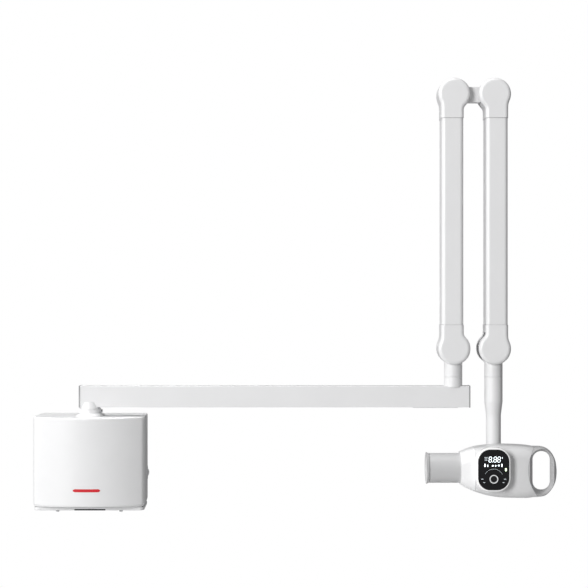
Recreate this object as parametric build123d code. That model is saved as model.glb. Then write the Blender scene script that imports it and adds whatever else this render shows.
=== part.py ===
from build123d import *
import os

# Wall-hung intraoral x-ray unit.
# Frame: +X along the horizontal arm, +Z up, +Y into the wall. The wall face is the plane Y = 0.
# Origin: centre of the wall bolt pattern, on the wall face. All sizes are in millimetres.

# ---- driving dimensions -------------------------------------------------------------------
ARM_Y = -75.0            # vertical middle plane of the arms, in front of the wall
REACH = 839.0            # hub axis to post axis
PIVOT_SPACING = 93.0     # post axis to stem axis, which is the elbow link's length
LINK_LENGTH = 585.0      # pivot to pivot of both scissor arms
LOW_Z = 262.0            # height of the two lower pivots
HIGH_Z = LOW_Z + LINK_LENGTH
SEAM_Z = 197.0           # swivel seam of the post and of the stem
TILT_Z = -6.0            # height of the tube head's tilt axis

BOX_HALF_FRONT = 129.0   # wall box, half width at the end of its sides
BOX_HALF_REAR = 125.0    # half width at the wall: the sides have draft
BOX_HALF_HEIGHT = 106.5
BOX_SIDE = 98.0          # depth of the flat sides
BOX_DEPTH = 136.0        # depth at the middle of the bowed front
BOX_WALL = 3.0
COVER_LOW = -101.1       # lower edge of the cover, above the bottom tray
COVER_RISE = 0.1526      # slope of that edge under the bowed front
TRAY_LOW = -109.2

ARM_Z = 151.5            # horizontal arm, centre height
ARM_HEIGHT = 49.0
ARM_DEPTH = 30.0
ARM_WALL = 3.0
ARM_LEFT = -21.2         # ends of the profile, without its caps
ARM_RIGHT = 873.8
ARM_CAP = 3.2            # thickness of the end caps

POST_R = 20.8            # post and stem outside radius
SPINDLE_R = 9.0          # swivel spindles
AXLE_R = 6.0             # pivot axles of the scissor arms
FIT = 0.05               # radial clearance of running fits
KNUCKLE_R = 37.0         # round covers of the pivots
KNUCKLE_HALF = 31.0      # half of their depth
SLOT_HALF = 21.7         # half width of the slot between the cover halves
COVER_WALL = 2.5
NECK = 55.0              # pivot to the seam between cover and tube
NECK_GAP = 0.6
NECK_CLEAR = 37.5        # from here on the neck is closed across the slot
TUBE_WIDTH = 50.0
TUBE_DEPTH = 60.0
TUBE_WALL = 2.5
TUBE_SHIFT = -4.4        # tube centre, outward of the pivot
CRANK_LOW = (-10.0, 10.0)    # tie rod pin from the pivot, lower arm
CRANK_HIGH = (8.9, 12.7)     # tie rod pin from the pivot, upper arm
ROD_HALF = 2.5           # tie rod half width
ROD_EYE_R = 5.0
PIN_R = 2.5              # tie rod pins

STEM_R = 17.0
STEM_X = REACH + PIVOT_SPACING
EYE_R = 27.0             # round eye at the stem's lower end
EYE_FRONT = ARM_Y - 17.5
EYE_REAR = ARM_Y + 17.5
TILT_R = 10.0

CONE_Y = -140.0          # beam axis
CONE_R = 33.5
CONE_BORE = 30.0
CONE_END = 770.0
CONE_RING = 4.6
CONE_RING_R = 35.6
NOSE_X = 846.0           # front end of the nose cover
NOSE_SEAM = 877.0
HEAD_REAR = -95.5        # plane of the head's rear face
HEAD_FRONT = -185.0
HEAD_SPLIT = -140.0      # seam plane of the front and rear shells
SHELL_WALL = 3.0
CREASE_X = 994.0         # arc where the handle meets the shells
CREASE_R = 87.0
POD_X = 914.5            # control pod centre
POD_Z = -2.8
POD_FRONT = -203.0
DIAL_DROP = 20.5         # dial centre below the pod centre

os.makedirs("parts", exist_ok=True)


# ---- helpers -------------------------------------------------------------------------------
def save(name, shape):
    export_step(shape, f"parts/{name}.step")


def block(x0, x1, y0, y1, z0, z1):
    box = Box(x1 - x0, y1 - y0, z1 - z0)
    return Pos((x0 + x1) / 2, (y0 + y1) / 2, (z0 + z1) / 2) * box


def rod_x(r, x0, x1, y, z):
    return Pos((x0 + x1) / 2, y, z) * Rot(0, 90, 0) * Cylinder(r, x1 - x0)


def rod_y(r, y0, y1, x, z):
    return Pos(x, (y0 + y1) / 2, z) * Rot(90, 0, 0) * Cylinder(r, y1 - y0)


def rod_z(r, z0, z1, x, y):
    return Pos(x, y, (z0 + z1) / 2) * Cylinder(r, z1 - z0)


def turned(points, x, y):
    """A solid of revolution about the vertical line through (x, y); points are (radius, height)."""
    face = make_face(Plane.XZ * Polyline(*points, close=True))
    return Pos(x, y, 0) * revolve(face, Axis.Z, 360)


def rounded_bar(width, depth, radius, z0, z1):
    """An upright bar of rounded rectangular section, centred on the local axis."""
    return Pos(0, 0, z0) * extrude(RectangleRounded(width, depth, radius), z1 - z0)


def rounded_plate(width, height, radius, y0, y1):
    """A plate in an XZ plane, from y0 to y1."""
    face = Plane.XZ * RectangleRounded(width, height, radius)
    return Pos(0, y1, 0) * extrude(face, y1 - y0)


# ---- wall unit -----------------------------------------------------------------------------
BOLT_X = 90.0            # wall bolts, half spacings
BOLT_Z = 70.0
BOLT_HOLE_R = 5.5
PLATE = 4.0
CHASSIS = 1.5
BRACKET_BOLT = 42.0
BARREL_LOW = 20.0
BARREL_TOP = 102.0
PIVOT_R = 15.0           # hub pin
SHOULDER_R = 19.5
ENTRY_X = 75.0           # cable entry from the wall
ENTRY_Z = -45.0
SWITCH_Y = -40.0
SWITCH_Z = -30.0


def corners(x, z):
    return [(sx * x, sz * z) for sx in (-1, 1) for sz in (-1, 1)]


def make_wall_plate():
    plate = rounded_plate(230, 190, 8, -PLATE, 0)
    for x, z in corners(BOLT_X, BOLT_Z):
        plate -= rod_y(BOLT_HOLE_R, -PLATE - 1, 1, x, z)
    for x, z in corners(BRACKET_BOLT, BRACKET_BOLT):
        plate -= rod_y(4.1, -PLATE - 1, 1, x, z)
    plate -= rod_y(9, -PLATE - 1, 1, ENTRY_X, ENTRY_Z)
    return plate


def make_chassis():
    half_x, half_z, depth = 117.0, 97.0, 45.0
    tray = block(-half_x, half_x, -depth, -PLATE, -half_z, half_z)
    tray -= block(-half_x + CHASSIS, half_x - CHASSIS, -depth - 1, -PLATE - CHASSIS,
                  -half_z + CHASSIS, half_z - CHASSIS)
    for x, z in corners(BOLT_X, BOLT_Z):
        tray -= rod_y(9, -PLATE - CHASSIS - 1, 0, x, z)
    for x, z in corners(BRACKET_BOLT, BRACKET_BOLT):
        tray -= rod_y(4.1, -PLATE - CHASSIS - 1, 0, x, z)
    tray -= rod_y(9, -PLATE - CHASSIS - 1, 0, ENTRY_X, ENTRY_Z)
    tray -= block(-40, 40, -depth - 1, -PLATE - CHASSIS, -half_z - 1, -half_z + 2)
    tray -= block(half_x - 3, half_x + 1, -depth - 1, SWITCH_Y + 12, SWITCH_Z - 14, SWITCH_Z + 14)
    return tray


def make_bracket():
    back = -PLATE - CHASSIS
    flange = rounded_plate(108, 108, 8, back - 8, back)
    barrel = rod_z(24, BARREL_LOW, BARREL_TOP, 0, ARM_Y)
    web = block(-16, 16, ARM_Y, back - 4, BARREL_LOW, 95)
    foot = extrude(Plane.YZ * make_face(Polyline((back - 4, -50), (back - 4, 25), (ARM_Y + 18, 25),
                                                 (ARM_Y + 18, BARREL_LOW), close=True)), 7, both=True)
    body = flange + web + barrel + foot
    body -= rod_z(18.0 + FIT, BARREL_LOW - 1, BARREL_TOP + 1, 0, ARM_Y)
    for x, z in corners(BRACKET_BOLT, BRACKET_BOLT):
        body -= rod_y(4.1, back - 20, 0, x, z)
    return body


def make_bracket_bolts():
    head = -PLATE - CHASSIS - 8
    bolts = Part()
    for x, z in corners(BRACKET_BOLT, BRACKET_BOLT):
        hexagon = Pos(x, head, z) * extrude(Plane.XZ * RegularPolygon(7.5, 6), 5.5)
        bolts += hexagon + rod_y(4.0, head, -0.5, x, z)
    return bolts


def bush(z0, z1, r_out, r_in, x, y):
    return rod_z(r_out, z0, z1, x, y) - rod_z(r_in, z0 - 1, z1 + 1, x, y)


def make_pivot_bearings():
    """Two bushes in the bracket's barrel, and a thrust washer on top of it."""
    lower = bush(BARREL_LOW, BARREL_LOW + 24, 18, PIVOT_R + FIT, 0, ARM_Y)
    upper = bush(BARREL_TOP - 24, BARREL_TOP - 0.1, 18, PIVOT_R + FIT, 0, ARM_Y)
    washer = bush(BARREL_TOP, BARREL_TOP + 2.5, 21, PIVOT_R + FIT, 0, ARM_Y)
    return lower + upper + washer


def bowed_block(inset, low, high, back):
    """The wall box's outline, bowed to the front, as an upright solid."""
    front_half = BOX_HALF_FRONT - inset
    rear_half = BOX_HALF_REAR - inset
    side = -(BOX_SIDE - inset)
    nose = -(BOX_DEPTH - inset)
    sides = Polyline((front_half, side), (rear_half, back), (-rear_half, back), (-front_half, side))
    bow = ThreePointArc((-front_half, side), (0, nose), (front_half, side))
    face = make_face(sides + bow)
    front_corners = face.vertices().sort_by(Axis.Y)[0:2]
    face = fillet(front_corners, 17 - inset)
    return Pos(0, 0, low) * extrude(face, high - low)


def rising_wedge(low):
    """Tool that lets the floor rise gently under the bowed front."""
    reach = BOX_DEPTH + 14 - BOX_SIDE
    side = make_face(Polyline((-BOX_SIDE, low), (-BOX_SIDE - reach, low),
                              (-BOX_SIDE - reach, low + reach * COVER_RISE), close=True))
    return extrude(Plane.YZ * side, 150, both=True)


TRAY_SCREWS = ((-73, -88), (73, -88))
SWITCH_BAY = (-33.0, 38.0, -97.4, -60.0)     # dark strip along the tray's front edge
BAY_HEIGHT = 3.5
JACK = (-16.0, -4.0, -86.0, -76.0)           # hand switch jack in that strip


def curved_rim(solid, axis_group):
    """Edges of the top or bottom face, without the straight one along the wall."""
    return [e for e in solid.edges().group_by(Axis.Z)[axis_group] if e.center().Y < -10]


def make_box_cover():
    outer = bowed_block(0, COVER_LOW, BOX_HALF_HEIGHT, -1.0)
    outer = fillet(curved_rim(outer, -1), 4)
    outer = fillet(curved_rim(outer, 0), 9)
    inner = bowed_block(BOX_WALL, COVER_LOW + BOX_WALL, BOX_HALF_HEIGHT - BOX_WALL, 1.0)
    inner = fillet(curved_rim(inner, 0), 6)
    cover = (outer - rising_wedge(COVER_LOW)) - (inner - rising_wedge(COVER_LOW + BOX_WALL))
    cover -= rod_z(21.5, 90, 120, 0, ARM_Y)
    cover -= block(JACK[0] - 4, JACK[1] + 4, JACK[2] - 4, JACK[3] + 4,
                   COVER_LOW - 1, COVER_LOW + BOX_WALL + 1)
    cover -= block(110, 140, SWITCH_Y - 10.5, SWITCH_Y + 10.5, SWITCH_Z - 13, SWITCH_Z + 13)
    cover -= block(126, 140, SWITCH_Y - 13.2, SWITCH_Y + 13.2, SWITCH_Z - 15.7, SWITCH_Z + 15.7)
    for x, y in TRAY_SCREWS:
        cover -= rod_z(2.2, COVER_LOW - 1, COVER_LOW + BOX_WALL + 1, x, y)
    return cover


def make_cover_screws():
    """Screws with tall round heads, on which the box can be set down."""
    screws = Part()
    for x, y in TRAY_SCREWS:
        screws += rod_z(2.0, TRAY_LOW - 0.2, COVER_LOW + 9, x, y) + rod_z(4.0, TRAY_LOW - 3.3, TRAY_LOW, x, y)
    return screws


def tray_block(inset, low, high):
    front, rear, back = 127.0 - inset, 123.5 - inset, -1.0 - inset
    front_y = -BOX_SIDE + inset
    face = make_face(Polyline((front, front_y), (rear, back), (-rear, back), (-front, front_y), close=True))
    face = fillet(face.vertices().sort_by(Axis.Y)[0:2], 12 - inset)
    return Pos(0, 0, low) * extrude(face, high - low)


def make_bottom_panel():
    """Tray that closes the box, straight along its front edge."""
    tray = tray_block(0, TRAY_LOW, COVER_LOW - 0.3)
    tray = fillet(curved_rim(tray, 0), 2)
    tray -= tray_block(BOX_WALL, TRAY_LOW + BOX_WALL, COVER_LOW + 5)
    x0, x1, y0, y1 = SWITCH_BAY
    tray -= block(x0, x1, y0 - 5, y1, TRAY_LOW - 1, TRAY_LOW + BAY_HEIGHT)
    for x, y in TRAY_SCREWS:
        tray -= rod_z(2.2, TRAY_LOW - 1, COVER_LOW, x, y)
    return tray


def make_handswitch_socket():
    """Dark strip in the tray with the jack for the hand switch."""
    x0, x1, y0, y1 = SWITCH_BAY
    strip = block(x0 + 0.3, x1 - 0.3, y0, y1 - 0.3, TRAY_LOW, TRAY_LOW + BAY_HEIGHT - 0.3)
    jx0, jx1, jy0, jy1 = JACK
    body = strip + block(jx0 - 2, jx1 + 2, jy0 - 2, jy1 + 2, TRAY_LOW, TRAY_LOW + 19)
    return body - block(jx0, jx1, jy0, jy1, TRAY_LOW - 1, TRAY_LOW + 16)


def make_collar_ring():
    base = BOX_HALF_HEIGHT
    outline = [(20.3, base), (32.5, base), (32.5, base + 2.1), (26.8, base + 5.4), (25.4, base + 7),
               (25.0, base + 16.4), (20.3, base + 16.4)]
    ring = turned(outline, 0, ARM_Y)
    return ring - rod_x(2.1, 18, 40, ARM_Y, base + 11)


def make_collar_screw():
    height = BOX_HALF_HEIGHT + 11
    screw = rod_x(2.0, 20.6, 27, ARM_Y, height) + rod_x(3.6, 25.6, 28.4, ARM_Y, height)
    return screw - rod_x(1.5, 27.2, 30, ARM_Y, height)


def make_switch_bezel():
    frame = block(126, 128.6, SWITCH_Y - 13, SWITCH_Y + 13, SWITCH_Z - 15.5, SWITCH_Z + 15.5)
    frame = fillet(frame.faces().sort_by(Axis.X)[-1].edges(), 1)
    frame += block(108, 126, SWITCH_Y - 10.2, SWITCH_Y + 10.2, SWITCH_Z - 12.7, SWITCH_Z + 12.7)
    return frame - block(114, 130, SWITCH_Y - 8.6, SWITCH_Y + 8.6, SWITCH_Z - 11.6, SWITCH_Z + 11.6)


def make_switch_rocker():
    """Rocker about a Y axis at (125, SWITCH_Z), lying on its lower side."""
    crown = rod_y(14, SWITCH_Y - 8, SWITCH_Y + 8, 118, 0)
    crown = crown & block(121, 140, SWITCH_Y - 9, SWITCH_Y + 9, -10.2, 10.2)
    crown = Pos(125, 0, SWITCH_Z) * Rot(0, 6, 0) * Pos(-125, 0, 0) * crown
    return crown


def make_control_board():
    board = block(-112, -35, -29.6, -28, -80, 88)
    for x, z in ((-108, -76), (-108, 84), (-39, 84), (-39, -76)):
        board -= rod_y(1.7, -31, -27, x, z)
    return board


def make_standoffs():
    posts = Part()
    for x, z in ((-108, -76), (-108, 84), (-39, 84), (-39, -76)):
        posts += rod_y(3, -28, -PLATE - CHASSIS, x, z) + rod_y(1.5, -32, -28, x, z)
        posts += rod_y(3, -34, -29.6, x, z) - rod_y(1.55, -35, -29, x, z)
    return posts


def make_board_parts():
    parts = Part()
    for i in range(3):
        parts += rod_y(9, -56, -29.6, -96 + 24 * i, 60)
    for i in range(4):
        parts += block(-104 + 17 * i, -92 + 17 * i, -40, -29.6, -68, -58)
    parts += block(-90, -62, -33, -29.6, -20, 8) + block(-58, -44, -44, -29.6, 10, 34)
    return parts


def make_power_supply():
    body = block(58, 106, -70, -PLATE - CHASSIS, -18, 90)
    for i in range(6):
        body -= block(61, 103, -72, -66, -12 + 17 * i, -4 + 17 * i)
    return body



save("wall_plate", make_wall_plate())
save("box_chassis", make_chassis())
save("pivot_bracket", make_bracket())
save("pivot_bearings", make_pivot_bearings())
save("box_cover", make_box_cover())
save("bottom_panel", make_bottom_panel())
save("handswitch_socket", make_handswitch_socket())
save("collar_ring", make_collar_ring())
save("wall_unit_screws", make_bracket_bolts() + make_cover_screws() + make_collar_screw())
save("switch_bezel", make_switch_bezel())
save("switch_rocker", make_switch_rocker())
save("control_board", make_control_board() + make_standoffs() + make_board_parts())
save("power_supply", make_power_supply())


# ---- horizontal arm ------------------------------------------------------------------------
ARM_LOW = ARM_Z - ARM_HEIGHT / 2
ARM_TOP = ARM_Z + ARM_HEIGHT / 2
CAVITY_LOW = ARM_LOW + ARM_WALL
CAVITY_TOP = ARM_TOP - ARM_WALL
COLLAR_LOW = ARM_TOP - 2.5


def make_arm_tube():
    half = ARM_DEPTH / 2
    tube = block(ARM_LEFT, ARM_RIGHT, ARM_Y - half, ARM_Y + half, ARM_LOW, ARM_TOP)
    tube = fillet(tube.edges().filter_by(Axis.X), 1.2)
    inner = half - ARM_WALL
    tube -= block(ARM_LEFT - 1, ARM_RIGHT + 1, ARM_Y - inner, ARM_Y + inner, CAVITY_LOW, CAVITY_TOP)
    tube -= rod_z(SPINDLE_R + 0.3, ARM_LOW - 1, CAVITY_LOW + 1, 0, ARM_Y)
    tube -= rod_z(10.9, CAVITY_TOP - 1, ARM_TOP + 1, REACH, ARM_Y)
    return tube


def make_arm_cap(outer_x, inner_x, plug_x):
    """End cap: a plate a little larger than the profile, with a plug inside it."""
    half = ARM_DEPTH / 2
    low_x, high_x = sorted((outer_x, inner_x))
    plate = block(low_x, high_x, ARM_Y - half - 0.5, ARM_Y + half + 0.5, ARM_LOW - 0.6, ARM_TOP + 0.5)
    face = plate.faces().sort_by(Axis.X)[0 if outer_x < inner_x else -1]
    plate = fillet(face.edges(), 1)
    inner = half - ARM_WALL - 0.2
    plug_low, plug_high = sorted((inner_x, plug_x))
    plug = block(plug_low, plug_high, ARM_Y - inner, ARM_Y + inner, CAVITY_LOW + 0.2, CAVITY_TOP - 0.2)
    return plate + plug


def make_arm_pivot_pin():
    pin = rod_z(PIVOT_R, 14, BARREL_TOP + 2.5, 0, ARM_Y)
    pin += rod_z(SHOULDER_R, BARREL_TOP + 2.5, ARM_LOW, 0, ARM_Y)
    pin += rod_z(SPINDLE_R, ARM_LOW, CAVITY_TOP - 4, 0, ARM_Y)
    pin -= rod_z(PIVOT_R + 1, 17, 19.2, 0, ARM_Y) - rod_z(13.4, 17, 19.2, 0, ARM_Y)
    return pin - rod_z(5, 0, 200, 0, ARM_Y)


def make_pivot_insert():
    body = block(ARM_LEFT + 8, 46, ARM_Y - 11.8, ARM_Y + 11.8, CAVITY_LOW + 0.1, CAVITY_TOP - 0.1)
    body -= rod_z(SPINDLE_R + FIT, ARM_LOW, CAVITY_TOP + 1, 0, ARM_Y)
    return body - rod_x(5, 0, 50, ARM_Y, ARM_Z)


def make_pivot_circlip():
    return bush(17.2, 19.0, 17.5, 13.5, 0, ARM_Y) - block(-20, 20, ARM_Y - 25, ARM_Y - 12, 10, 25)


def make_pivot_fairing():
    """Cone under the arm that rises over both of its faces."""
    low = BOX_HALF_HEIGHT + 16.9
    high = low + 15.2
    cone = turned([(0, low), (23.8, low), (18.4, high), (0, high)], 0, ARM_Y)
    half = ARM_DEPTH / 2 + 0.1
    cone -= block(-40, 40, ARM_Y - half, ARM_Y + half, ARM_LOW, high + 5)
    cone -= block(-40, ARM_LEFT + 0.1, ARM_Y - half - 1, ARM_Y + half + 1, ARM_LOW - 0.7, high + 5)
    return cone - rod_z(SHOULDER_R + 0.2, low - 1, ARM_LOW, 0, ARM_Y)


def make_underside_cover():
    half = ARM_DEPTH / 2
    strip = block(745, 848, ARM_Y - half + 1, ARM_Y + half - 1, ARM_LOW - 1.6, ARM_LOW)
    strip = fillet(strip.faces().sort_by(Axis.Z)[0].edges(), 1)
    return strip


def make_post_insert():
    body = block(REACH - 42, ARM_RIGHT - 12, ARM_Y - 11.8, ARM_Y + 11.8, CAVITY_LOW + 0.1, CAVITY_TOP - 0.1)
    body -= rod_z(10.5 + FIT, CAVITY_LOW + 6, CAVITY_TOP + 1, REACH, ARM_Y)
    return body - rod_x(5, 790, REACH, ARM_Y, ARM_Z)


def make_post_collar():
    body = rod_z(POST_R, COLLAR_LOW, SEAM_Z - 0.2, REACH, ARM_Y)
    body = chamfer(body.edges().sort_by(Axis.Z)[-1], 0.5)
    half = ARM_DEPTH / 2 + 0.05
    body -= block(REACH - 30, REACH + 30, ARM_Y - half, ARM_Y + half, COLLAR_LOW - 1, ARM_TOP)
    return body - rod_z(10.5 + FIT, COLLAR_LOW, SEAM_Z + 1, REACH, ARM_Y)


def make_post_bushes():
    lower = bush(CAVITY_LOW + 6, CAVITY_LOW + 22, 10.5, SPINDLE_R + FIT, REACH, ARM_Y)
    upper = bush(ARM_TOP, SEAM_Z - 0.2, 10.5, SPINDLE_R + FIT, REACH, ARM_Y)
    return lower + upper


def make_arm_cable():
    """Mains and signal cable, from the hub insert along the profile to the post insert."""
    route = [(50, ARM_Y, ARM_Z), (110, ARM_Y, ARM_Z - 12), (200, ARM_Y, ARM_Z - 15), (420, ARM_Y, ARM_Z - 15.5),
             (640, ARM_Y, ARM_Z - 15), (735, ARM_Y, ARM_Z - 12), (793, ARM_Y, ARM_Z)]
    path = FilletPolyline(*route, radius=150)
    section = Plane(origin=route[0], z_dir=path % 0) * Circle(3.6)
    return sweep(section, path)


save("arm_tube", make_arm_tube())
save("arm_end_caps", make_arm_cap(ARM_LEFT - ARM_CAP, ARM_LEFT, ARM_LEFT + 6)
     + make_arm_cap(ARM_RIGHT + ARM_CAP, ARM_RIGHT, ARM_RIGHT - 10))
save("arm_pivot_pin", make_arm_pivot_pin() + make_pivot_circlip())
save("arm_inserts", make_pivot_insert() + make_post_insert() + make_post_bushes())
save("pivot_fairing", make_pivot_fairing())
save("arm_underside_cover", make_underside_cover())
save("post_collar", make_post_collar())
save("arm_cable", make_arm_cable())


# ---- pivots of the scissor arms ------------------------------------------------------------
def rounded_head(x, z):
    """Top of the post and of the wrist block: a drum about the pivot, as deep as the post."""
    return rod_z(POST_R, z - 30, z + 30, x, ARM_Y) & rod_y(POST_R, ARM_Y - 30, ARM_Y + 30, x, z)


BUSH_END = 18.6          # how far a pivot bush reaches to each side
ROD_SLOT = 6.5           # half width of the slot for the tie rod


DRUM_R = 33.5            # cheeks of the wrist block, which fill the slot between its covers


def make_swivel_head(x, crank, cheeks=None):
    """Upright drum from the swivel seam to the pivot, with a fork slot for the tie rod."""
    body = rod_z(POST_R, SEAM_Z + 0.2, LOW_Z, x, ARM_Y) + rounded_head(x, LOW_Z)
    if cheeks:
        body += cheeks
    body -= block(x - 40, x + 40, ARM_Y - ROD_SLOT, ARM_Y + ROD_SLOT, LOW_Z - 12, LOW_Z + 40)
    body -= rod_y(8.5 + FIT, ARM_Y - 30, ARM_Y + 30, x, LOW_Z)
    return body - rod_y(PIN_R + FIT, ARM_Y - 18, ARM_Y + 18, x + crank[0], LOW_Z + crank[1])


def pivot_bushes(x, z, r_out, inner, outer):
    pair = Part()
    for side in (-1, 1):
        y0, y1 = sorted((ARM_Y + side * inner, ARM_Y + side * outer))
        pair += rod_y(r_out, y0, y1, x, z) - rod_y(AXLE_R + FIT, y0 - 1, y1 + 1, x, z)
    return pair


def crank_pin(x, z, crank, reach):
    return rod_y(PIN_R, ARM_Y - reach, ARM_Y + reach, x + crank[0], z + crank[1])


def place(shape, x, z, up=True, flip=False):
    """Puts a pivot piece made with its neck towards +Z and its open side towards +X."""
    if not up:
        shape = mirror(shape, Plane.XY)
    if flip:
        shape = mirror(shape, Plane.YZ)
    return Pos(x, ARM_Y, z) * shape


def knuckle_outline(inset, reach):
    """Round cover with a neck: a tight concave fillet inside, a long gentle one outside."""
    left = TUBE_SHIFT - TUBE_WIDTH / 2 - 1 + inset
    right = TUBE_SHIFT + TUBE_WIDTH / 2 + 1 - inset
    neck = Pos((left + right) / 2, reach / 2) * Rectangle(right - left, reach)
    outline = Circle(KNUCKLE_R - inset) + neck
    inner = outline.vertices().filter_by_position(Axis.X, right - 0.01, right + 0.01)
    outline = fillet(inner.sort_by(Axis.Y)[0], 14 + inset)
    outer = outline.vertices().filter_by_position(Axis.X, left - 0.01, left + 0.01)
    return fillet(outer.sort_by(Axis.Y)[0], 40 + inset)


def cover_solid(inset, reach, deepest, slot, bridge, edge_radius):
    face = Plane.XZ * knuckle_outline(inset, reach)
    disc = Pos(0, -slot, 0) * extrude(face, deepest - slot)
    neck = extrude(face, slot + 1) & block(-60, 60, -slot - 2, 1, bridge, reach + 1)
    solid = disc + neck
    front = solid.faces().sort_by(Axis.Y)[0]
    edges = [e for e in front.edges() if e.center().Z < reach - 0.5]
    return fillet(edges, edge_radius)


SIDE_WALL_FROM = -20.0   # the outward side is closed from here up to the neck
LINK_WALL_FROM = 19.5    # the inward side of an elbow is closed from here, clear of the link


def make_knuckle_cover(elbow):
    """Half of a pivot's cover, with walls across the slot where nothing swings through it."""
    outer = cover_solid(0, NECK, KNUCKLE_HALF, SLOT_HALF, NECK_CLEAR, 8.5)
    outer -= block(-60, 60, -0.1, 5, 0, 80)
    inner = cover_solid(COVER_WALL, NECK + 5, KNUCKLE_HALF - COVER_WALL, SLOT_HALF - 1, 20, 6)
    cover = outer - inner
    edge = knuckle_outline(0, NECK) - knuckle_outline(COVER_WALL, NECK + 5)
    rim = extrude(Plane.XZ * edge, SLOT_HALF + 1)
    cover += rim & block(-60, -15, -SLOT_HALF - 1, -0.1, SIDE_WALL_FROM, NECK_CLEAR + 1)
    if elbow:
        cover += rim & block(15, 60, -SLOT_HALF - 1, -0.1, LINK_WALL_FROM, NECK_CLEAR + 1)
    return cover


def make_fork():
    """Cast fork: two cheeks around the pivot and a hollow spigot inside the tube."""
    spigot = Pos(TUBE_SHIFT, 0, 0) * rounded_bar(43, 53, 5.5, 39, 96)
    cheeks = Part()
    for side in (-1, 1):
        y0, y1 = sorted((side * 22.2, side * 28.0))
        cheeks += rod_y(15, y0, y1, 0, 0) + block(-15, 15, y0, y1, 0, 46)
    body = spigot + (cheeks & block(-20, 20, -30, 30, -20, 46))
    body -= block(-20, 13, -20.5, 20.5, 30, 100)
    return body - rod_y(AXLE_R + FIT, -40, 40, 0, 0)


def make_axle():
    pin = rod_y(AXLE_R, -28.2, 28.2, 0, 0)
    return chamfer(pin.edges(), 0.6)


def make_arm_sleeve():
    """Outer tube of a scissor arm, between the two seams."""
    z0 = NECK + NECK_GAP
    z1 = LINK_LENGTH - NECK - NECK_GAP
    outer = rounded_bar(TUBE_WIDTH, TUBE_DEPTH, 9, z0, z1)
    inner = rounded_bar(TUBE_WIDTH - 2 * TUBE_WALL, TUBE_DEPTH - 2 * TUBE_WALL, 6.5, z0 - 1, z1 + 1)
    return Pos(TUBE_SHIFT, 0, 0) * (outer - inner)


SPRING_X = 6.0
SPRING_LOW = 112.0
SPRING_HIGH = 410.0
SPRING_TURNS = 34
SPRING_R = 8.0
SPRING_WIRE = 1.9


def make_spring():
    """Counterbalance spring, as rings joined by a thin seam on one side."""
    pitch = (SPRING_HIGH - SPRING_LOW) / SPRING_TURNS
    path = Helix(pitch=pitch, height=SPRING_HIGH - SPRING_LOW, radius=SPRING_R)
    section = Plane(origin=path @ 0, z_dir=path % 0) * Circle(SPRING_WIRE)
    return Pos(SPRING_X, 0, SPRING_LOW) * sweep(section, path, is_frenet=True)


def make_spring_rod():
    """Draw rod with a spring plate at each end of the spring."""
    rod = rod_z(4, 96.5, SPRING_HIGH + 14, SPRING_X, 0)
    for z in (SPRING_LOW - 8, SPRING_HIGH + 2.5):
        rod += rod_z(10.5, z, z + 5, SPRING_X, 0)
    return rod


def make_tie_rod():
    """Parallel rod with an eye at each end, made along +Z from its lower pin."""
    rod = block(-ROD_HALF, ROD_HALF, -4, 4, 0, LINK_LENGTH)
    for z in (0, LINK_LENGTH):
        rod += rod_y(ROD_EYE_R, -5, 5, 0, z)
    for z in (0, LINK_LENGTH):
        rod -= rod_y(PIN_R + 0.3, -10, 10, 0, z)
    return rod


pivot_cover = make_knuckle_cover(False)
elbow_cover = make_knuckle_cover(True)
fork = make_fork()
sleeve = make_arm_sleeve()
spring = make_spring()
spring_rod = make_spring_rod()
axle = make_axle()

# Each scissor arm: its name, its pivot line, its lower end and whether it is mirrored left to right.
for arm, x, flip in (("lower", REACH, False), ("upper", STEM_X, True)):
    ends = ((LOW_Z, True), (HIGH_Z, False))
    save(f"{arm}_tube", place(sleeve, x, LOW_Z, flip=flip))
    save(f"{arm}_spring", place(spring, x, LOW_Z, flip=flip))
    rods = place(spring_rod, x, LOW_Z, flip=flip)
    forks = Part()
    front_covers = Part()
    rear_covers = Part()
    for z, up in ends:
        rods += place(axle, x, z, up=up, flip=flip)
        forks += place(fork, x, z, up=up, flip=flip)
        cover = pivot_cover if up else elbow_cover
        front_covers += place(cover, x, z, up=up, flip=flip)
        rear_covers += place(mirror(cover, Plane.XZ), x, z, up=up, flip=flip)
    save(f"{arm}_rods", rods)
    save(f"{arm}_forks", forks)
    save(f"{arm}_covers_front", front_covers)
    save(f"{arm}_covers_rear", rear_covers)

LINK_HALF_H = 17.5
LINK_HALF_D = 11.0


def make_elbow_link():
    """Level link between the two elbow pivots, forked at both ends for the tie rods."""
    bar = block(REACH, STEM_X, ARM_Y - LINK_HALF_D, ARM_Y + LINK_HALF_D,
                HIGH_Z - LINK_HALF_H, HIGH_Z + LINK_HALF_H)
    for x in (REACH, STEM_X):
        bar += rod_y(LINK_HALF_H, ARM_Y - LINK_HALF_D, ARM_Y + LINK_HALF_D, x, HIGH_Z)
    slots = block(REACH - 30, REACH + 14, ARM_Y - ROD_SLOT, ARM_Y + ROD_SLOT, HIGH_Z - 40, HIGH_Z + 40)
    slots += block(STEM_X - 14, STEM_X + 30, ARM_Y - ROD_SLOT, ARM_Y + ROD_SLOT, HIGH_Z - 40, HIGH_Z + 40)
    bar -= slots
    for x, crank in ((REACH, CRANK_LOW), (STEM_X, CRANK_HIGH)):
        bar -= rod_y(8.5 + FIT, ARM_Y - 30, ARM_Y + 30, x, HIGH_Z)
        bar -= rod_y(PIN_R + FIT, ARM_Y - 30, ARM_Y + 30, x + crank[0], HIGH_Z + crank[1])
    return bar


def make_post_head():
    """The swivel post: its head in the knuckle and its spindle down into the arm, in one."""
    spindle = rod_z(SPINDLE_R, CAVITY_LOW + 6.5, SEAM_Z + 0.2, REACH, ARM_Y)
    return make_swivel_head(REACH, CRANK_LOW) + spindle - rod_z(4, 100, 245, REACH, ARM_Y)


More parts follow.
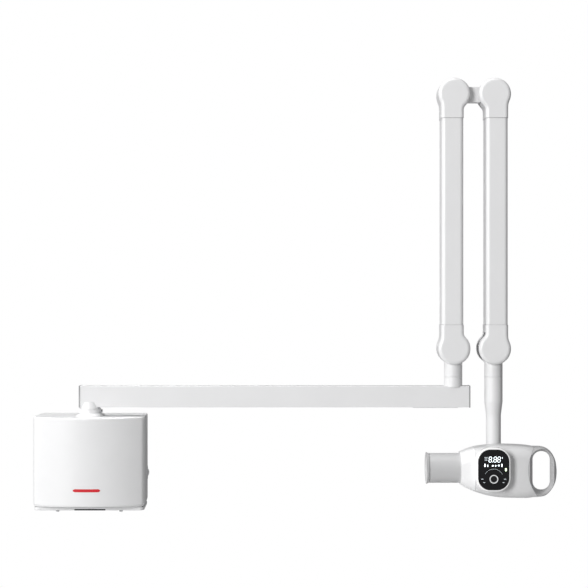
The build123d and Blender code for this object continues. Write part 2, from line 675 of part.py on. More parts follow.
save("post_head", make_post_head())
save("post_bearings", pivot_bushes(REACH, LOW_Z, 8.5, ROD_SLOT, BUSH_END)
     + crank_pin(REACH, LOW_Z, CRANK_LOW, 17))
wrist_cheeks = (rod_y(DRUM_R, ARM_Y - POST_R, ARM_Y + POST_R, STEM_X, LOW_Z)
                & block(STEM_X - 40, STEM_X, ARM_Y - 30, ARM_Y + 30, LOW_Z - 40, LOW_Z + 40))
save("wrist_head", make_swivel_head(STEM_X, CRANK_HIGH, wrist_cheeks)
     - rod_z(SPINDLE_R + FIT, 190, 232, STEM_X, ARM_Y))
save("wrist_bearings", pivot_bushes(STEM_X, LOW_Z, 8.5, ROD_SLOT, BUSH_END)
     + crank_pin(STEM_X, LOW_Z, CRANK_HIGH, 12))
save("elbow_link", make_elbow_link())
elbow_bearings = Part()
for x, crank in ((REACH, CRANK_LOW), (STEM_X, CRANK_HIGH)):
    elbow_bearings += pivot_bushes(x, HIGH_Z, 8.5, ROD_SLOT, 21.8) + crank_pin(x, HIGH_Z, crank, 11)
save("elbow_bearings", elbow_bearings)
tie_rod = make_tie_rod()
save("lower_tie_rod", place(tie_rod, REACH + CRANK_LOW[0], LOW_Z + CRANK_LOW[1]))
save("upper_tie_rod", place(tie_rod, STEM_X + CRANK_HIGH[0], LOW_Z + CRANK_HIGH[1]))


# ---- stem ----------------------------------------------------------------------------------
def make_stem():
    taper_top, taper_low = 139.3, 108.5
    outline = [(0, SEAM_Z - 0.2), (POST_R, SEAM_Z - 0.2), (POST_R, taper_top), (STEM_R, taper_low),
               (STEM_R, TILT_Z), (0, TILT_Z)]
    body = turned(outline, STEM_X, ARM_Y)
    body += rod_z(SPINDLE_R, SEAM_Z - 0.2, 231, STEM_X, ARM_Y)
    body += rod_y(EYE_R, EYE_FRONT, EYE_REAR, STEM_X, TILT_Z)
    body -= rod_z(5, 22, 300, STEM_X, ARM_Y)
    return body - rod_y(TILT_R + 2 + FIT, EYE_FRONT - 5, EYE_REAR + 5, STEM_X, TILT_Z)


def make_tilt_bearings():
    """Bush in the eye, and the friction disc between the eye and the tube head."""
    bush_body = rod_y(TILT_R + 2, EYE_FRONT + 0.1, EYE_REAR, STEM_X, TILT_Z)
    disc = rod_y(22, HEAD_REAR + 0.3, EYE_FRONT, STEM_X, TILT_Z)
    return bush_body + disc - rod_y(TILT_R + FIT, -120, -50, STEM_X, TILT_Z)


def make_eye_cap():
    cap = rod_y(EYE_R, EYE_REAR, EYE_REAR + 16, STEM_X, TILT_Z)
    cap = fillet(cap.edges().sort_by(Axis.Y)[-1], 5)
    return cap - rod_y(EYE_R - 3, EYE_REAR - 1, EYE_REAR + 13, STEM_X, TILT_Z)


save("stem", make_stem())
save("tilt_bearings", make_tilt_bearings())
save("eye_cap", make_eye_cap())


# ---- tube head -----------------------------------------------------------------------------
# Cross-sections of the head and its handle along X: position, bottom, top, depth.
HEAD_SECTIONS = [
    (NOSE_X, -41.5, 30.5, 72.0),
    (860.0, -49.8, 36.0, 78.5),
    (NOSE_SEAM, -56.8, 41.0, 84.5),
    (905.0, -65.0, 45.2, 89.0),
    (935.0, -69.8, 47.0, 89.5),
    (970.0, -71.0, 46.6, 89.5),
    (1000.0, -70.8, 44.4, 88.0),
    (1024.0, -70.0, 43.4, 79.0),
    (1040.0, -66.8, 40.8, 65.0),
    (1051.0, -57.5, 32.5, 51.0),
    (1058.5, -46.0, 21.0, 38.0),
    (1062.5, -34.5, 8.5, 27.0),
    (1064.2, -24.0, -3.0, 17.0),
]
FORM_CORNER = 27.0


def head_form(inset):
    """The head's body as a loft through rounded sections, shrunk by inset."""
    middle = (HEAD_REAR + HEAD_FRONT) / 2
    sections = []
    for x, low, high, depth in HEAD_SECTIONS:
        height = high - low
        corner = min(FORM_CORNER, 0.47 * height, 0.47 * depth) - inset
        plane = Plane(origin=(x, middle, (low + high) / 2), x_dir=(0, 1, 0), z_dir=(1, 0, 0))
        sections.append(plane * RectangleRounded(depth - 2 * inset, height - 2 * inset, corner))
    return loft(sections)


def crease_cylinder(gap):
    """Tool that cuts the shells' end to a concave arc around the handle."""
    return rod_y(CREASE_R + gap, -260, -40, CREASE_X + CREASE_R, TILT_Z - 0.5)


outer_form = head_form(0)
inner_form = head_form(SHELL_WALL)
CAVITY_START = NOSE_X + 4
CAVITY_END = CREASE_X - 6
inner_form = inner_form & block(CAVITY_START, CAVITY_END, -260, -50, -100, 100)
casing = (outer_form - inner_form) - crease_cylinder(0.15)

nose = casing & block(NOSE_X - 5, NOSE_SEAM - 0.2, -260, -50, -100, 100)
nose -= rod_x(CONE_R + FIT, NOSE_X - 10, CAVITY_START + 5, CONE_Y, TILT_Z)
shells = casing & block(NOSE_SEAM + 0.2, 1040, -260, -50, -100, 100)
front_shell = shells & block(800, 1100, -260, HEAD_SPLIT - 0.15, -100, 100)
rear_shell = shells & block(800, 1100, HEAD_SPLIT + 0.15, -50, -100, 100)
front_shell -= rod_y(9, -200, -150, POD_X, POD_Z)
rear_shell -= rod_y(TILT_R + FIT, -110, -50, STEM_X, TILT_Z)


def pod_outline(width, height, radius):
    return Plane.XZ * RectangleRounded(width, height, radius)


def make_panel_housing():
    rear = -181.0
    body = Pos(POD_X, rear, POD_Z) * extrude(pod_outline(76, 97, 30), rear - POD_FRONT)
    body = fillet(body.faces().sort_by(Axis.Y)[0].edges(), 3.2)
    body -= Pos(POD_X, POD_FRONT + 12, POD_Z) * extrude(pod_outline(69.4, 90.4, 27), 20)
    body -= outer_form
    return body


def make_panel_glass():
    glass = Pos(POD_X, POD_FRONT + 2.8, POD_Z) * extrude(pod_outline(69.0, 90.0, 26.8), 2.6)
    glass = fillet(glass.faces().sort_by(Axis.Y)[0].edges(), 1.0)
    return glass - rod_y(10.8, POD_FRONT - 5, POD_FRONT + 5, POD_X, POD_Z - DIAL_DROP)


def make_display_board():
    board = Pos(POD_X, POD_FRONT + 11, POD_Z) * extrude(pod_outline(60, 80, 20), 1.6)
    screen = block(POD_X - 24, POD_X + 24, POD_FRONT + 3.2, POD_FRONT + 9.4, POD_Z - 2, POD_Z + 30)
    shaft = rod_y(4, POD_FRONT + 6, POD_FRONT + 9.4, POD_X, POD_Z - DIAL_DROP)
    return board + screen + shaft


def make_dial_ring():
    z = POD_Z - DIAL_DROP
    ring = rod_y(10.4, POD_FRONT - 1.2, POD_FRONT + 4, POD_X, z) - rod_y(6.5, -260, -100, POD_X, z)
    return fillet(ring.edges().group_by(Axis.Y)[0], 0.6)


def make_select_button():
    z = POD_Z - DIAL_DROP
    button = rod_y(6.1, POD_FRONT - 0.6, POD_FRONT + 3.6, POD_X, z)
    return fillet(button.edges().sort_by(Axis.Y)[0], 0.5)


HOLE_X = 1030.7          # finger hole: centre, narrowest size and its flare to both faces
HOLE_Z = -11.5
HOLE_WIDTH = 39.6
HOLE_HEIGHT = 87.2
HOLE_FLARE = 14.0
HOLE_LAND = 2.0          # straight part, to each side of the middle
HOLE_MOUTH = 46.0


def make_handle():
    """Grip loop at the head's end: the head's own form, dished into a long finger hole."""
    return (head_form(0.7) & crease_cylinder(-0.15)) - finger_hole()


def finger_hole():
    """Tool for the hole: straight in the middle, flared towards both faces."""
    tool = Pos(HOLE_X, CONE_Y + HOLE_LAND, HOLE_Z) * extrude(Plane.XZ * hole_outline(0), 2 * HOLE_LAND)
    for side in (-1, 1):
        opening = Pos(HOLE_X, HOLE_Z) * hole_outline(HOLE_FLARE)
        mouth = Plane.XZ.offset(-(CONE_Y + side * HOLE_MOUTH)) * opening
        throat = Plane.XZ.offset(-(CONE_Y + side * HOLE_LAND)) * Pos(HOLE_X, HOLE_Z) * hole_outline(0)
        tool += loft([throat, mouth])
    return tool


def hole_outline(grow):
    return RectangleRounded(HOLE_WIDTH + 2 * grow, HOLE_HEIGHT + 2 * grow, 19 + grow)


CONE_GROOVE = 2.3        # groove between the cone and its end ring


def make_cone_tube():
    groove_end = CONE_END + CONE_RING + CONE_GROOVE
    tube = rod_x(CONE_R, groove_end, 850.2, CONE_Y, TILT_Z)
    tube += rod_x(CONE_R - 1.7, CONE_END + CONE_RING, groove_end, CONE_Y, TILT_Z)
    return tube - rod_x(CONE_BORE, 700, 900, CONE_Y, TILT_Z)


def make_cone_ring():
    """End ring, flared a little outside and opened by a bevel inside."""
    outline = [(CONE_RING_R - 1.2, 0), (CONE_RING_R, 0),
               (CONE_RING_R - 1.4, CONE_RING), (CONE_BORE + 0.6, CONE_RING)]
    return Pos(CONE_END, CONE_Y, TILT_Z) * Rot(0, 90, 0) * turned(outline, 0, 0)


TANK = (884.0, 980.0, -174.0, -108.0, -46.0, 30.0)


def make_tube_tank():
    x0, x1, y0, y1, z0, z1 = TANK
    tank = fillet(block(*TANK).edges().filter_by(Axis.X), 8)
    wall = 4
    tank -= block(x0 + wall, x1 - wall, y0 + wall, y1 - wall, z0 + wall, z1 - wall)
    return tank - rod_x(14, x0 - 2, x0 + 6, CONE_Y, TILT_Z)


def make_beam_filter():
    flange = rod_x(29.8, 851, 856, CONE_Y, TILT_Z) - rod_x(18, 850, 860, CONE_Y, TILT_Z)
    return flange + (rod_x(22, 856, TANK[0], CONE_Y, TILT_Z) - rod_x(12, 850, 869, CONE_Y, TILT_Z))


def make_xray_tube():
    glass = rod_z(13, -40, 24, 904, CONE_Y)
    return fillet(glass.edges(), 6) - rod_z(10.5, -37, 21, 904, CONE_Y)


def make_anode():
    stub = rod_z(7, -36.5, -14, 904, CONE_Y)
    cutter = Pos(904, CONE_Y, -14) * Rot(0, -20, 0) * Box(40, 40, 12)
    return stub - cutter


def make_tilt_spindle():
    spindle = rod_y(TILT_R, HEAD_REAR - 9, EYE_REAR + 11, STEM_X, TILT_Z)
    return spindle + rod_y(20, HEAD_REAR - 9, HEAD_REAR - SHELL_WALL - 0.1, STEM_X, TILT_Z)


def make_tilt_nut():
    body = rod_y(16, EYE_REAR + 0.3, EYE_REAR + 8, STEM_X, TILT_Z)
    return body - rod_y(TILT_R + FIT, EYE_REAR - 1, EYE_REAR + 20, STEM_X, TILT_Z)


save("head_nose", nose)
save("head_front_shell", front_shell)
save("head_rear_shell", rear_shell)
save("panel_housing", make_panel_housing())
save("panel_glass", make_panel_glass())
save("display_board", make_display_board())
save("dial_ring", make_dial_ring())
save("select_button", make_select_button())
save("handle_loop", make_handle())
save("cone_tube", make_cone_tube())
save("cone_end_ring", make_cone_ring())
save("tube_tank", make_tube_tank())
save("beam_filter", make_beam_filter())
save("xray_tube", make_xray_tube() + make_anode())
save("hv_transformer", block(925, 970, -166, -118, -40, 24))
save("tilt_spindle", make_tilt_spindle() + make_tilt_nut())
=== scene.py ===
"""Looks of a wall-hung intraoral x-ray unit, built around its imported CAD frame. Units are metres."""
import math

import bmesh
import bpy
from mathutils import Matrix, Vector


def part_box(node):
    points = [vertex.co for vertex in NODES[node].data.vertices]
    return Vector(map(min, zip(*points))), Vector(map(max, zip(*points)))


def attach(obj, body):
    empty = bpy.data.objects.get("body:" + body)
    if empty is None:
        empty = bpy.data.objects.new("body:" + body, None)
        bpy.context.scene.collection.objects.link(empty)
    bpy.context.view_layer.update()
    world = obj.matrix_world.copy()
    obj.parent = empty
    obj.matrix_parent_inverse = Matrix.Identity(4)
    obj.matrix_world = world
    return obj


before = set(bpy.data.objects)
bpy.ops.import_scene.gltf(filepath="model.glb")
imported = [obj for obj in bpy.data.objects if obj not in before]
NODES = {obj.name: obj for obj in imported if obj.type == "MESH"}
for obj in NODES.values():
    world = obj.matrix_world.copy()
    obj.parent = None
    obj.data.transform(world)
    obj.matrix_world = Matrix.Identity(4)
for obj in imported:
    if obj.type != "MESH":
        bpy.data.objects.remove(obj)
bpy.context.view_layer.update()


def box_centre(node):
    low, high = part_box(node)
    return (low + high) / 2


# ---- camera --------------------------------------------------------------------------------
SENSOR = 36.0            # sensor width and focal length in millimetres
LENS = 85.163
CAMERA_DISTANCE = 3.2    # from the lens to the front face of the horizontal arm
CAMERA_X = 0.471
CAMERA_Z = 0.3877


def make_camera():
    data = bpy.data.cameras.new("camera")
    data.sensor_width = SENSOR
    data.lens = LENS
    data.clip_end = 100
    camera = bpy.data.objects.new("camera", data)
    arm_low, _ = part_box("arm_tube")
    camera.location = (CAMERA_X, arm_low.y - CAMERA_DISTANCE, CAMERA_Z)
    camera.rotation_euler = (math.pi / 2, 0, 0)
    bpy.context.scene.collection.objects.link(camera)
    bpy.context.scene.camera = camera


# ---- stage: floor, light and sky -----------------------------------------------------------
FLOOR_PLACE = (0.5, -0.3, -1.15)
FLOOR_SIZE = 4.0
ROOM_LIGHT = 0.18                 # soft light from all round; the backdrop itself is white
MIDDLE = (0.45, -0.1, 0.25)       # about the middle of the unit, where the large lamps point
BOX_LIGHT_SPREAD = math.radians(70)


def area_light(name, place, target, size, power):
    """A rectangular lamp that points from one place at another; size in metres, power in watts."""
    data = bpy.data.lights.new(name, "AREA")
    data.shape = "RECTANGLE"
    data.size, data.size_y = size
    data.energy = power
    lamp = bpy.data.objects.new(name, data)
    lamp.location = place
    lamp.rotation_euler = (Vector(target) - Vector(place)).to_track_quat("-Z", "Y").to_euler()
    bpy.context.scene.collection.objects.link(lamp)
    return lamp


def make_stage():
    world = bpy.data.worlds.new("studio")
    bpy.context.scene.world = world
    world.use_nodes = True
    tree = world.node_tree
    tree.nodes.clear()
    out = tree.nodes.new("ShaderNodeOutputWorld")
    mix = tree.nodes.new("ShaderNodeMixShader")
    rays = tree.nodes.new("ShaderNodeLightPath")
    room = tree.nodes.new("ShaderNodeBackground")
    room.inputs["Color"].default_value = (0.99, 0.995, 1.0, 1)
    room.inputs["Strength"].default_value = ROOM_LIGHT
    paper = tree.nodes.new("ShaderNodeBackground")
    paper.inputs["Color"].default_value = (1, 1, 1, 1)
    paper.inputs["Strength"].default_value = 1.0
    tree.links.new(rays.outputs["Is Camera Ray"], mix.inputs[0])
    tree.links.new(room.outputs[0], mix.inputs[1])
    tree.links.new(paper.outputs[0], mix.inputs[2])
    tree.links.new(mix.outputs[0], out.inputs[0])

    bpy.ops.mesh.primitive_grid_add(x_subdivisions=2, y_subdivisions=2, size=FLOOR_SIZE,
                                    location=FLOOR_PLACE)
    floor = bpy.context.object
    floor.name = "floor"
    floor.data.materials.append(plain_floor())

    area_light("key", (-4.6, -6.6, 2.2), MIDDLE, (2.6, 3.6), 560)
    area_light("side", (-4.2, -0.9, 0.6), MIDDLE, (1.6, 2.6), 44)
    area_light("top", (0.3, -0.3, 3.0), (0.5, -0.1, 0.2), (3.0, 1.4), 44)
    area_light("right", (3.2, -1.6, 0.2), (0.8, -0.1, 0.1), (1.2, 1.8), 2)
    box_light = area_light("box_top", (-0.05, 0.04, 1.6), (0.0, -0.08, 0.1), (0.6, 0.24), 1.5)
    box_light.data.spread = BOX_LIGHT_SPREAD


def plain_floor():
    material = bpy.data.materials.new("floor")
    material.use_nodes = True
    shader = material.node_tree.nodes["Principled BSDF"]
    shader.inputs["Base Color"].default_value = (0.86, 0.86, 0.86, 1)
    shader.inputs["Roughness"].default_value = 0.7
    return material


# ---- materials -----------------------------------------------------------------------------
class Surface:
    """A procedural material in object space. Its methods add mottled colour, mottled roughness,
    bumps and a clear coat, and each returns the surface."""

    def __init__(self, name, colour, roughness, metallic=0.0):
        self.material = bpy.data.materials.new(name)
        self.material.use_nodes = True
        self.tree = self.material.node_tree
        self.shader = self.tree.nodes["Principled BSDF"]
        self.shader.inputs["Base Color"].default_value = (*colour, 1)
        self.shader.inputs["Roughness"].default_value = roughness
        self.shader.inputs["Metallic"].default_value = metallic
        self.colour = colour
        self.roughness = roughness
        self.height = None
        self.coords = self.tree.nodes.new("ShaderNodeTexCoord").outputs["Object"]

    def node(self, kind, **inputs):
        made = self.tree.nodes.new(kind)
        for key, value in inputs.items():
            made.inputs[key.replace("_", " ")].default_value = value
        return made

    def link(self, source, target):
        self.tree.links.new(source, target)

    def stretched(self, scale):
        mapping = self.tree.nodes.new("ShaderNodeMapping")
        mapping.inputs["Scale"].default_value = scale
        self.link(self.coords, mapping.inputs["Vector"])
        return mapping.outputs["Vector"]

    def noise(self, scale, detail=3.0, stretch=None):
        texture = self.node("ShaderNodeTexNoise", Scale=scale, Detail=detail)
        self.link(self.stretched(stretch) if stretch else self.coords, texture.inputs["Vector"])
        return texture.outputs["Fac"]

    def ranged(self, value, low, high):
        remap = self.node("ShaderNodeMapRange", To_Min=low, To_Max=high)
        remap.inputs["From Min"].default_value = 0.3
        remap.inputs["From Max"].default_value = 0.7
        self.link(value, remap.inputs["Value"])
        return remap.outputs["Result"]

    def mottle(self, scale, amount, stretch=None):
        """Cloudy colour: from darker to lighter by amount."""
        ramp = self.tree.nodes.new("ShaderNodeValToRGB")
        ramp.color_ramp.elements[0].position = 0.3
        ramp.color_ramp.elements[1].position = 0.7
        ramp.color_ramp.elements[0].color = (*[c * (1 - amount) for c in self.colour], 1)
        ramp.color_ramp.elements[1].color = (*[min(1, c * (1 + amount)) for c in self.colour], 1)
        self.link(self.noise(scale, 4.0, stretch), ramp.inputs["Fac"])
        self.link(ramp.outputs["Color"], self.shader.inputs["Base Color"])
        return self

    def patchy_gloss(self, scale, amount, stretch=None):
        value = self.noise(scale, 4.0, stretch)
        result = self.ranged(value, max(0.02, self.roughness - amount), min(1, self.roughness + amount))
        self.link(result, self.shader.inputs["Roughness"])
        return self

    def bumps(self, scale, depth, detail=2.0, stretch=None):
        """Relief of the given depth in metres; several calls stack."""
        bump = self.node("ShaderNodeBump", Strength=1.0, Distance=depth)
        self.link(self.noise(scale, detail, stretch), bump.inputs["Height"])
        if self.height is not None:
            self.link(self.height, bump.inputs["Normal"])
        self.height = bump.outputs["Normal"]
        self.link(self.height, self.shader.inputs["Normal"])
        return self

    def coat(self, weight, roughness):
        self.shader.inputs["Coat Weight"].default_value = weight
        self.shader.inputs["Coat Roughness"].default_value = roughness
        return self


def make_materials():
    """Each surface of the unit under a short key. Noise scales are per metre, bump depths in metres."""
    white = (0.80, 0.80, 0.805)
    made = {}
    made["casing"] = (Surface("white_casing", white, 0.34).mottle(14, 0.012).patchy_gloss(60, 0.05)
                      .bumps(9, 0.0003).bumps(2600, 0.000012))
    made["paint"] = (Surface("white_powder_coat", white, 0.38).mottle(10, 0.012).patchy_gloss(45, 0.05)
                     .bumps(900, 0.00002, 3.0).bumps(2800, 0.000008))
    # The nose is a lighter copy of the same white as the casing: painted highlight where light falls on the
    # nose.
    made["nose"] = (Surface("white_nose_painted_highlight", (0.86, 0.86, 0.865), 0.3).mottle(14, 0.01).patchy_gloss(60, 0.05)
                    .bumps(2600, 0.00001))
    # The head shells are a darker copy of the same white: painted shade over the body of the head.
    made["head"] = (Surface("white_head_shell_painted_shade", (0.72, 0.72, 0.725), 0.36).mottle(14, 0.012)
                    .patchy_gloss(60, 0.05).bumps(2600, 0.00001))
    made["grey"] = (Surface("grey_soft_plastic", (0.58, 0.58, 0.585), 0.5).mottle(18, 0.03)
                    .patchy_gloss(70, 0.06).bumps(1800, 0.00003))
    made["cone"] = (Surface("cone_grey", (0.56, 0.56, 0.565), 0.42).mottle(18, 0.02)
                    .patchy_gloss(70, 0.05).bumps(2200, 0.00002))
    made["cap"] = (Surface("end_cap_grey", (0.34, 0.34, 0.345), 0.5).mottle(30, 0.05).patchy_gloss(80, 0.05)
                   .bumps(1500, 0.00002))
    # Whiter than the other whites: painted highlight on the rim of the panel housing. Its low roughness is
    # the housing's own gloss.
    made["gloss"] = Surface("gloss_white", (0.95, 0.95, 0.95), 0.12).mottle(20, 0.01).patchy_gloss(50, 0.03)
    made["glass"] = (Surface("black_panel", (0.006, 0.006, 0.007), 0.09).mottle(30, 0.2)
                     .patchy_gloss(25, 0.03).coat(0.5, 0.05))
    made["dial"] = (Surface("dial_black", (0.012, 0.012, 0.013), 0.3).mottle(60, 0.2).patchy_gloss(80, 0.05)
                    .bumps(2500, 0.00001))
    made["dark"] = Surface("dark_plastic", (0.03, 0.03, 0.032), 0.45).mottle(40, 0.2).bumps(2000, 0.00003)
    made["steel"] = (Surface("zinc_steel", (0.55, 0.56, 0.58), 0.3, 1.0).mottle(60, 0.12)
                     .patchy_gloss(120, 0.1).bumps(300, 0.00002, 4.0))
    made["cast"] = (Surface("cast_aluminium", (0.62, 0.62, 0.63), 0.45, 1.0).mottle(90, 0.08)
                    .patchy_gloss(140, 0.1).bumps(700, 0.00006, 5.0))
    made["bronze"] = (Surface("bronze", (0.45, 0.31, 0.15), 0.3, 1.0).mottle(80, 0.12)
                      .patchy_gloss(150, 0.1))
    made["board"] = (Surface("circuit_board", (0.02, 0.12, 0.05), 0.35).mottle(200, 0.3)
                     .bumps(900, 0.00003))
    made["copper"] = (Surface("lead_and_copper", (0.3, 0.26, 0.24), 0.4, 0.8).mottle(70, 0.15)
                      .patchy_gloss(90, 0.1))
    made["lit"] = glowing("display_light", (0.86, 0.95, 1.0), 1.6)
    made["circle"] = glowing("dial_circle", (0.75, 0.76, 0.77), 0.12)
    made["dim"] = glowing("display_dim", (0.55, 0.6, 0.63), 0.35)
    made["green"] = glowing("indicator_light", (0.75, 1.0, 0.62), 1.3)
    made["mark"] = Surface("red_mark", (0.62, 0.02, 0.03), 0.35).mottle(60, 0.06).patchy_gloss(80, 0.05)
    return {key: value.material if isinstance(value, Surface) else value for key, value in made.items()}


def glowing(name, colour, strength):
    """Printed display graphics that give light, a little uneven across each stroke."""
    surface = Surface(name, colour, 0.3).mottle(300, 0.06)
    surface.shader.inputs["Emission Color"].default_value = (*colour, 1)
    surface.shader.inputs["Emission Strength"].default_value = strength
    return surface.material


MATERIAL_OF_NODE = {
    "casing": ["box_cover", "lower_covers_front", "lower_covers_rear", "upper_covers_front",
               "upper_covers_rear", "pivot_fairing", "collar_ring", "eye_cap", "switch_bezel",
               "switch_rocker", "arm_underside_cover", "bottom_panel"],
    "paint": ["arm_tube", "lower_tube", "upper_tube", "post_collar", "post_head", "wrist_head", "stem",
              "elbow_link"],
    # The nose takes the lighter copy of the white, a painted highlight.
    "nose": ["head_nose"],
    # The head shells take the darker copy of the white, painted shade.
    "head": ["head_front_shell", "head_rear_shell"],
    "grey": ["handle_loop"],
    "cap": ["arm_end_caps"],
    "cone": ["cone_tube", "cone_end_ring"],
    # The panel housing takes the whiter gloss white, a painted highlight on its rim.
    "gloss": ["panel_housing"],
    "glass": ["panel_glass"],
    "dial": ["dial_ring", "select_button"],
    "dark": ["handswitch_socket", "arm_cable"],
    "steel": ["wall_plate", "box_chassis", "wall_unit_screws", "arm_pivot_pin", "lower_rods", "upper_rods",
              "lower_spring", "upper_spring", "lower_tie_rod", "upper_tie_rod", "tilt_spindle"],
    "cast": ["pivot_bracket", "arm_inserts", "lower_forks", "upper_forks", "tube_tank", "power_supply"],
    "bronze": ["pivot_bearings", "post_bearings", "elbow_bearings", "wrist_bearings", "tilt_bearings"],
    "board": ["control_board", "display_board"],
    "copper": ["beam_filter", "hv_transformer", "xray_tube"],
}


def dress_nodes(materials):
    for key, names in MATERIAL_OF_NODE.items():
        for name in names:
            node = NODES[name]
            if not node.material_slots:
                node.data.materials.append(materials[key])
            for slot in node.material_slots:
                slot.material = materials[key]


# ---- mesh helpers --------------------------------------------------------------------------
def add_mesh(name, vertices, faces, material, body):
    mesh = bpy.data.meshes.new(name)
    mesh.from_pydata(vertices, [], faces)
    mesh.validate()
    mesh.update()
    piece = bpy.data.objects.new(name, mesh)
    bpy.context.scene.collection.objects.link(piece)
    mesh.materials.append(material)
    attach(piece, body)
    return piece


def plates(name, outlines, y_front, thickness, material, body):
    """Thin plates from closed outlines in the XZ plane, joined in one piece."""
    vertices, faces = [], []
    for outline in outlines:
        start, count = len(vertices), len(outline)
        vertices += [(x, y_front, z) for x, z in outline]
        vertices += [(x, y_front + thickness, z) for x, z in outline]
        faces.append(list(range(start, start + count)))
        faces.append(list(range(start + 2 * count - 1, start + count - 1, -1)))
        for i in range(count):
            j = (i + 1) % count
            faces.append([start + j, start + i, start + count + i, start + count + j])
    piece = add_mesh(name, vertices, faces, material, body)
    tool = bmesh.new()
    tool.from_mesh(piece.data)
    bmesh.ops.recalc_face_normals(tool, faces=tool.faces)
    tool.to_mesh(piece.data)
    tool.free()
    return piece


def rounded_rectangle(x, z, width, height, radius, steps=5):
    points = []
    for cx, cz, start in ((1, 1, 0), (-1, 1, 90), (-1, -1, 180), (1, -1, 270)):
        for i in range(steps + 1):
            angle = math.radians(start + 90 * i / steps)
            points.append((x + cx * (width / 2 - radius) + radius * math.cos(angle),
                           z + cz * (height / 2 - radius) + radius * math.sin(angle)))
    return points


def disc(x, z, radius, steps=20):
    return [(x + radius * math.cos(2 * math.pi * i / steps), z + radius * math.sin(2 * math.pi * i / steps))
            for i in range(steps)]


def arc_strokes(x, z, radius, width, start, end, pieces):
    """An arc of a circle as short four-sided strokes, angles in degrees."""
    strokes = []
    for i in range(pieces):
        a = math.radians(start + (end - start) * i / pieces)
        b = math.radians(start + (end - start) * (i + 1) / pieces)
        inner, outer = radius - width / 2, radius + width / 2
        strokes.append([(x + r * math.cos(t), z + r * math.sin(t))
                        for r, t in ((inner, a), (outer, a), (outer, b), (inner, b))])
    return strokes


# ---- control panel graphics ----------------------------------------------------------------
# Places are measured from the middle of the glass, and those of the dial's marks from the dial.
DIGIT_HEIGHT = 0.0128
DIGIT_WIDTH = 0.0070
DIGIT_ROW_Z = 0.0231
DIGIT_PLACES = (-0.0078, 0.0030, 0.0116)
POINT_X = -0.0026        # decimal point
POINT_RADIUS = 0.0009
STROKE = 0.00125         # width of a digit's bars
SLANT = 0.08             # lean of the digits, sideways over height
DASH_HEIGHT = 0.0014     # printed dashes of the legend
DASH_RADIUS = 0.0005
PRINT_LIFT = 0.00005     # front of the printed shapes before the glass
PRINT_THICKNESS = 0.00004


def segment(x0, z0, x1, z1):
    """One bar of a seven-segment digit, with pointed ends, between two points."""
    half = STROKE / 2
    along = Vector((x1 - x0, z1 - z0)).normalized()
    across = Vector((-along.y, along.x)) * half
    start, end = Vector((x0, z0)) + along * half * 0.6, Vector((x1, z1)) - along * half * 0.6
    ring = [start, start + along * half + across, end - along * half + across,
            end, end - along * half - across, start + along * half - across]
    return [tuple(p) for p in ring]


def digit_eight(x, z):
    """All seven bars of a digit centred on (x, z)."""
    w, h = DIGIT_WIDTH / 2 - STROKE / 2, DIGIT_HEIGHT / 2 - STROKE / 2
    flat_bars = [(-w, level, w, level) for level in (h, 0, -h)]
    upright_bars = [(side, low, side, low + h) for low in (0, -h) for side in (-w, w)]
    return [[(x + px + SLANT * pz, z + pz) for px, pz in segment(*bar)] for bar in flat_bars + upright_bars]


def person_icon(x, z, height):
    head = height * 0.17
    return [disc(x, z + height / 2 - head, head, 12),
            rounded_rectangle(x, z - height * 0.16, height * 0.42, height * 0.62, height * 0.14)]


def tooth_icon(x, z, size):
    crown = rounded_rectangle(x, z + size * 0.18, size * 0.9, size * 0.62, size * 0.25)
    roots = [[(x + side * size * 0.43, z), (x + side * size * 0.3, z - size * 0.5),
              (x + side * size * 0.05, z)] for side in (-1, 1)]
    return [crown] + roots


def dash(x, z, width):
    return rounded_rectangle(x, z, width, DASH_HEIGHT, DASH_RADIUS)


def digit_shapes(x, z):
    """Three digits with a decimal point and a short mark after them."""
    row = z + DIGIT_ROW_Z
    shapes = []
    for place in DIGIT_PLACES:
        shapes += digit_eight(x + place, row)
    shapes.append(disc(x + POINT_X, row - DIGIT_HEIGHT / 2 + POINT_RADIUS, POINT_RADIUS, 10))
    shapes.append(rounded_rectangle(x + 0.0188, z + 0.0265, 0.0012, 0.0034, 0.0005))
    return shapes


def icon_shapes(x, z):
    """A row of plain icons: two people, a dot, a diamond, a tooth and a bar."""
    shapes = person_icon(x - 0.0196, z + 0.0102, 0.0072) + person_icon(x - 0.0134, z + 0.0092, 0.0052)
    shapes += [disc(x - 0.0023, z + 0.0092, 0.0019, 12), disc(x + 0.0041, z + 0.0092, 0.0021, 4)]
    shapes += tooth_icon(x + 0.0112, z + 0.0095, 0.0042)
    shapes.append(rounded_rectangle(x + 0.0180, z + 0.0102, 0.0024, 0.0068, 0.001))
    return shapes


def legend_shapes(x, z, dial):
    """Dashes beside the digits and round the dial, and an arc above the dial."""
    shapes = [dash(x - 0.0172, z + 0.0275 - 0.003 * row, width)
              for row, width in enumerate((0.0074, 0.0058, 0.0066))]
    for dx, dz, width in ((-0.0255, 0.0, 0.005), (-0.0212, -0.0075, 0.004),
                          (0.0250, 0.0, 0.005), (0.0216, -0.0075, 0.004)):
        shapes.append(dash(dial.x + dx, dial.z + dz, width))
    return shapes + arc_strokes(dial.x, dial.z, 0.0222, 0.0005, 30, 150, 30)


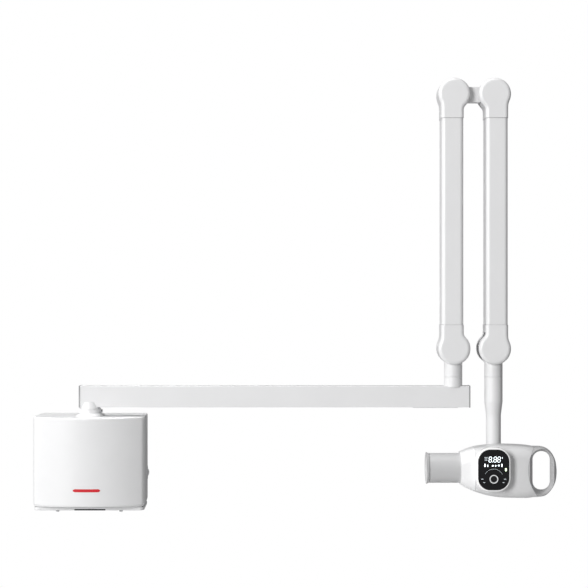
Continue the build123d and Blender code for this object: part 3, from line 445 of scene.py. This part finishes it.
def make_panel(materials):
    centre = box_centre("panel_glass")
    x, z = centre.x, centre.z
    dial = box_centre("dial_ring")
    glass_low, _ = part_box("panel_glass")
    ring_low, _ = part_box("dial_ring")
    glass_front = glass_low.y - PRINT_LIFT
    circle = arc_strokes(dial.x, dial.z, 0.0086, 0.0020, 0, 360, 48)
    light = rounded_rectangle(x + 0.0268, z + 0.0005, 0.0040, 0.0070, 0.0015)

    for name, outlines, key in (("display_digits", digit_shapes(x, z), "lit"),
                                ("display_icons", icon_shapes(x, z), "lit"),
                                ("panel_legend", legend_shapes(x, z, dial), "dim")):
        plates(name, outlines, glass_front, PRINT_THICKNESS, materials[key], "tube_head")
    plates("dial_circle", circle, ring_low.y - PRINT_LIFT, PRINT_THICKNESS, materials["circle"],
           "dial")
    plates("ready_light", [light], glass_front, PRINT_THICKNESS, materials["green"],
           "tube_head")


# ---- mark on the wall box ------------------------------------------------------------------
MARK_HALF = 0.031
MARK_HEIGHT = 0.0068
MARK_RISE = 0.0425       # middle of the mark above the cover's lower edge
MARK_LIFT = 0.0003       # front of the mark before the cover
MARK_DEPTH = 0.00048
MARK_STEPS = 24
BOW_RADIUS = 0.238       # of the cover's front


def make_wall_box_mark(materials):
    """A plain stripe with rounded ends, bent to the bowed front of the cover."""
    cover_low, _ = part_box("box_cover")
    z = cover_low.z + MARK_RISE
    vertices, faces = [], []
    for i in range(MARK_STEPS + 1):
        x = -MARK_HALF + 2 * MARK_HALF * i / MARK_STEPS
        y = cover_low.y + BOW_RADIUS - math.sqrt(BOW_RADIUS ** 2 - x * x) - MARK_LIFT
        end = min(1.0, min(i, MARK_STEPS - i) / 2 + 0.35)
        for dz in (-MARK_HEIGHT / 2 * end, MARK_HEIGHT / 2 * end):
            vertices += [(x, y, z + dz), (x, y + MARK_DEPTH, z + dz)]
    for i in range(MARK_STEPS):
        a, b = 4 * i, 4 * (i + 1)
        faces += [[a, b, b + 2, a + 2], [a + 1, a + 3, b + 3, b + 1],
                  [a, a + 1, b + 1, b], [a + 2, b + 2, b + 3, a + 3]]
    last = 4 * MARK_STEPS
    faces += [[0, 2, 3, 1], [last, last + 1, last + 3, last + 2]]
    add_mesh("box_mark", vertices, faces, materials["mark"], "wall_unit")


# ---- build ---------------------------------------------------------------------------------
make_camera()
make_stage()
surfaces = make_materials()
dress_nodes(surfaces)
make_panel(surfaces)
make_wall_box_mark(surfaces)
bpy.context.scene.view_settings.view_transform = "Standard"
